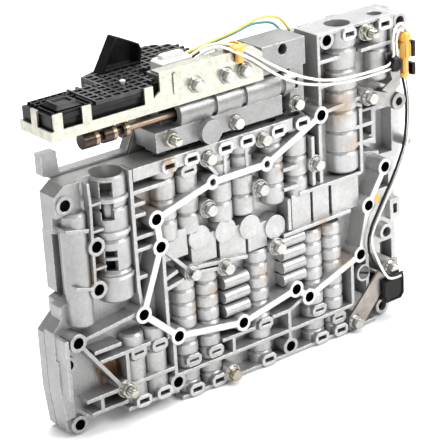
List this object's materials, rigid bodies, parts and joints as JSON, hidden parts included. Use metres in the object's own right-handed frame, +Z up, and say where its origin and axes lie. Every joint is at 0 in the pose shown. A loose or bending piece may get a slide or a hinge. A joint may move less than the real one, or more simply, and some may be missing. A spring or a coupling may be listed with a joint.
{
  "type": "transmission valve body",
  "caption": "Ribbed cast valve body of an automatic gearbox: spool bores, manual valve, bolted castings, control module on a sheet bracket and sensor wires.",
  "frame": {"origin": "middle of the whole part's box, at the lower edge it stands on", "axes": "+X along the long ribbed face towards the wire end, +Y from the ribbed face into the depth, +Z up"},
  "size_m": [0.325, 0.085, 0.261],
  "materials": {
    "cast_aluminium": "as cast, with machined faces",
    "fine_cast_aluminium": "as cast, bright",
    "gasket_paper": "pressed paper",
    "plate_steel": "rolled",
    "bronzed_steel": "hard anodised, brown",
    "anodised_aluminium": "anodised",
    "spring_steel": "plain",
    "zinc_bolts": "zinc plated",
    "yellow_zinc": "yellow zinc plated",
    "zinc_sheet": "zinc plated sheet",
    "module_plastic": "moulded, glass filled",
    "black_plastic": "moulded",
    "white_plastic": "moulded",
    "amber_plastic": "moulded, translucent look",
    "solenoid_steel": "drawn can",
    "white_wire": "sleeved",
    "black_wire": "sleeved",
    "yellow_wire": "sleeved",
    "teal_wire": "sleeved"
  },
  "bodies": {
    "valve_body": {"front_body": "cast_aluminium", "front_gasket": "gasket_paper", "separator_plate": "plate_steel", "rear_gasket": "gasket_paper", "rear_body": "cast_aluminium", "manual_valve_body": "fine_cast_aluminium", "clutch_pressure_spring": "spring_steel", "line_relief_spring": "spring_steel", "pilot_spring": "spring_steel", "pressure_regulator_spring": "spring_steel", "converter_spring": "spring_steel", "direct_clutch_spring": "spring_steel", "reverse_clutch_spring": "spring_steel", "brake_spring": "spring_steel", "accumulator_spring": "spring_steel", "bore_plugs": "anodised_aluminium", "retainer_clips": "spring_steel", "check_balls": "spring_steel", "slotted_plug": "spring_steel", "body_bolts": "zinc_bolts", "rim_bolts": "zinc_bolts", "manual_body_bolts": "zinc_bolts", "bracket_bolts": "zinc_bolts", "side_bolts": "zinc_bolts", "studs": "yellow_zinc", "stud_nuts": "yellow_zinc", "module_bracket": "zinc_sheet", "control_module": "module_plastic", "module_cover": "module_plastic", "module_connector": "black_plastic", "position_switch": "black_plastic", "connector_lock": "white_plastic", "wire_clips": "amber_plastic", "sensor_connector": "amber_plastic", "connector_holder": "black_plastic", "wire_grommet": "black_plastic", "upper_bracket": "zinc_sheet", "lower_bracket": "zinc_sheet", "speed_sensor": "black_plastic", "solenoids": "solenoid_steel", "solenoid_bracket": "zinc_sheet", "solenoid_bolts": "zinc_bolts", "sensor_wire_a": "white_wire", "sensor_wire_b": "white_wire", "output_wire_black": "black_wire", "output_wire_white": "white_wire", "harness_wire_yellow": "yellow_wire", "harness_wire_teal": "teal_wire"},
    "clutch_pressure_valve": {"clutch_pressure_spool": "anodised_aluminium"},
    "line_relief_valve": {"line_relief_spool": "anodised_aluminium"},
    "pilot_valve": {"pilot_spool": "anodised_aluminium"},
    "pressure_regulator_valve": {"pressure_regulator_spool": "anodised_aluminium"},
    "converter_valve": {"converter_spool": "anodised_aluminium"},
    "direct_clutch_valve": {"direct_clutch_spool": "anodised_aluminium"},
    "reverse_clutch_valve": {"reverse_clutch_spool": "anodised_aluminium"},
    "brake_valve": {"brake_spool": "anodised_aluminium"},
    "accumulator": {"accumulator_piston": "anodised_aluminium"},
    "selector": {"manual_valve": "bronzed_steel"}
  },
  "joints": [
    {"name": "clutch_pressure_slide", "type": "slide", "parent": "valve_body", "child": "clutch_pressure_valve", "axis": [0, 0, -1], "range_m": [0, 0.006], "stiffness_N_per_m": 400, "springref_m": -0.01, "deforming": ["clutch_pressure_spring"]},
    {"name": "line_relief_slide", "type": "slide", "parent": "valve_body", "child": "line_relief_valve", "axis": [0, 0, -1], "range_m": [0, 0.006], "stiffness_N_per_m": 400, "springref_m": -0.01, "deforming": ["line_relief_spring"]},
    {"name": "pilot_slide", "type": "slide", "parent": "valve_body", "child": "pilot_valve", "axis": [0, 0, -1], "range_m": [0, 0.006], "stiffness_N_per_m": 400, "springref_m": -0.01, "deforming": ["pilot_spring"]},
    {"name": "pressure_regulator_slide", "type": "slide", "parent": "valve_body", "child": "pressure_regulator_valve", "axis": [0, 0, -1], "range_m": [0, 0.006], "stiffness_N_per_m": 400, "springref_m": -0.01, "deforming": ["pressure_regulator_spring"]},
    {"name": "converter_slide", "type": "slide", "parent": "valve_body", "child": "converter_valve", "axis": [0, 0, -1], "range_m": [0, 0.006], "stiffness_N_per_m": 400, "springref_m": -0.01, "deforming": ["converter_spring"]},
    {"name": "direct_clutch_slide", "type": "slide", "parent": "valve_body", "child": "direct_clutch_valve", "axis": [0, 0, 1], "range_m": [0, 0.006], "stiffness_N_per_m": 400, "springref_m": -0.01, "deforming": ["direct_clutch_spring"]},
    {"name": "reverse_clutch_slide", "type": "slide", "parent": "valve_body", "child": "reverse_clutch_valve", "axis": [0, 0, 1], "range_m": [0, 0.006], "stiffness_N_per_m": 400, "springref_m": -0.01, "deforming": ["reverse_clutch_spring"]},
    {"name": "brake_slide", "type": "slide", "parent": "valve_body", "child": "brake_valve", "axis": [0, 0, 1], "range_m": [0, 0.006], "stiffness_N_per_m": 400, "springref_m": -0.01, "deforming": ["brake_spring"]},
    {"name": "accumulator_slide", "type": "slide", "parent": "valve_body", "child": "accumulator", "axis": [0, 0, -1], "range_m": [0, 0.014], "stiffness_N_per_m": 600, "springref_m": -0.01, "deforming": ["accumulator_spring"]},
    {"name": "manual_valve_slide", "type": "slide", "parent": "valve_body", "child": "selector", "axis": [1, 0, 0], "range_m": [0, 0.024]}
  ]
}
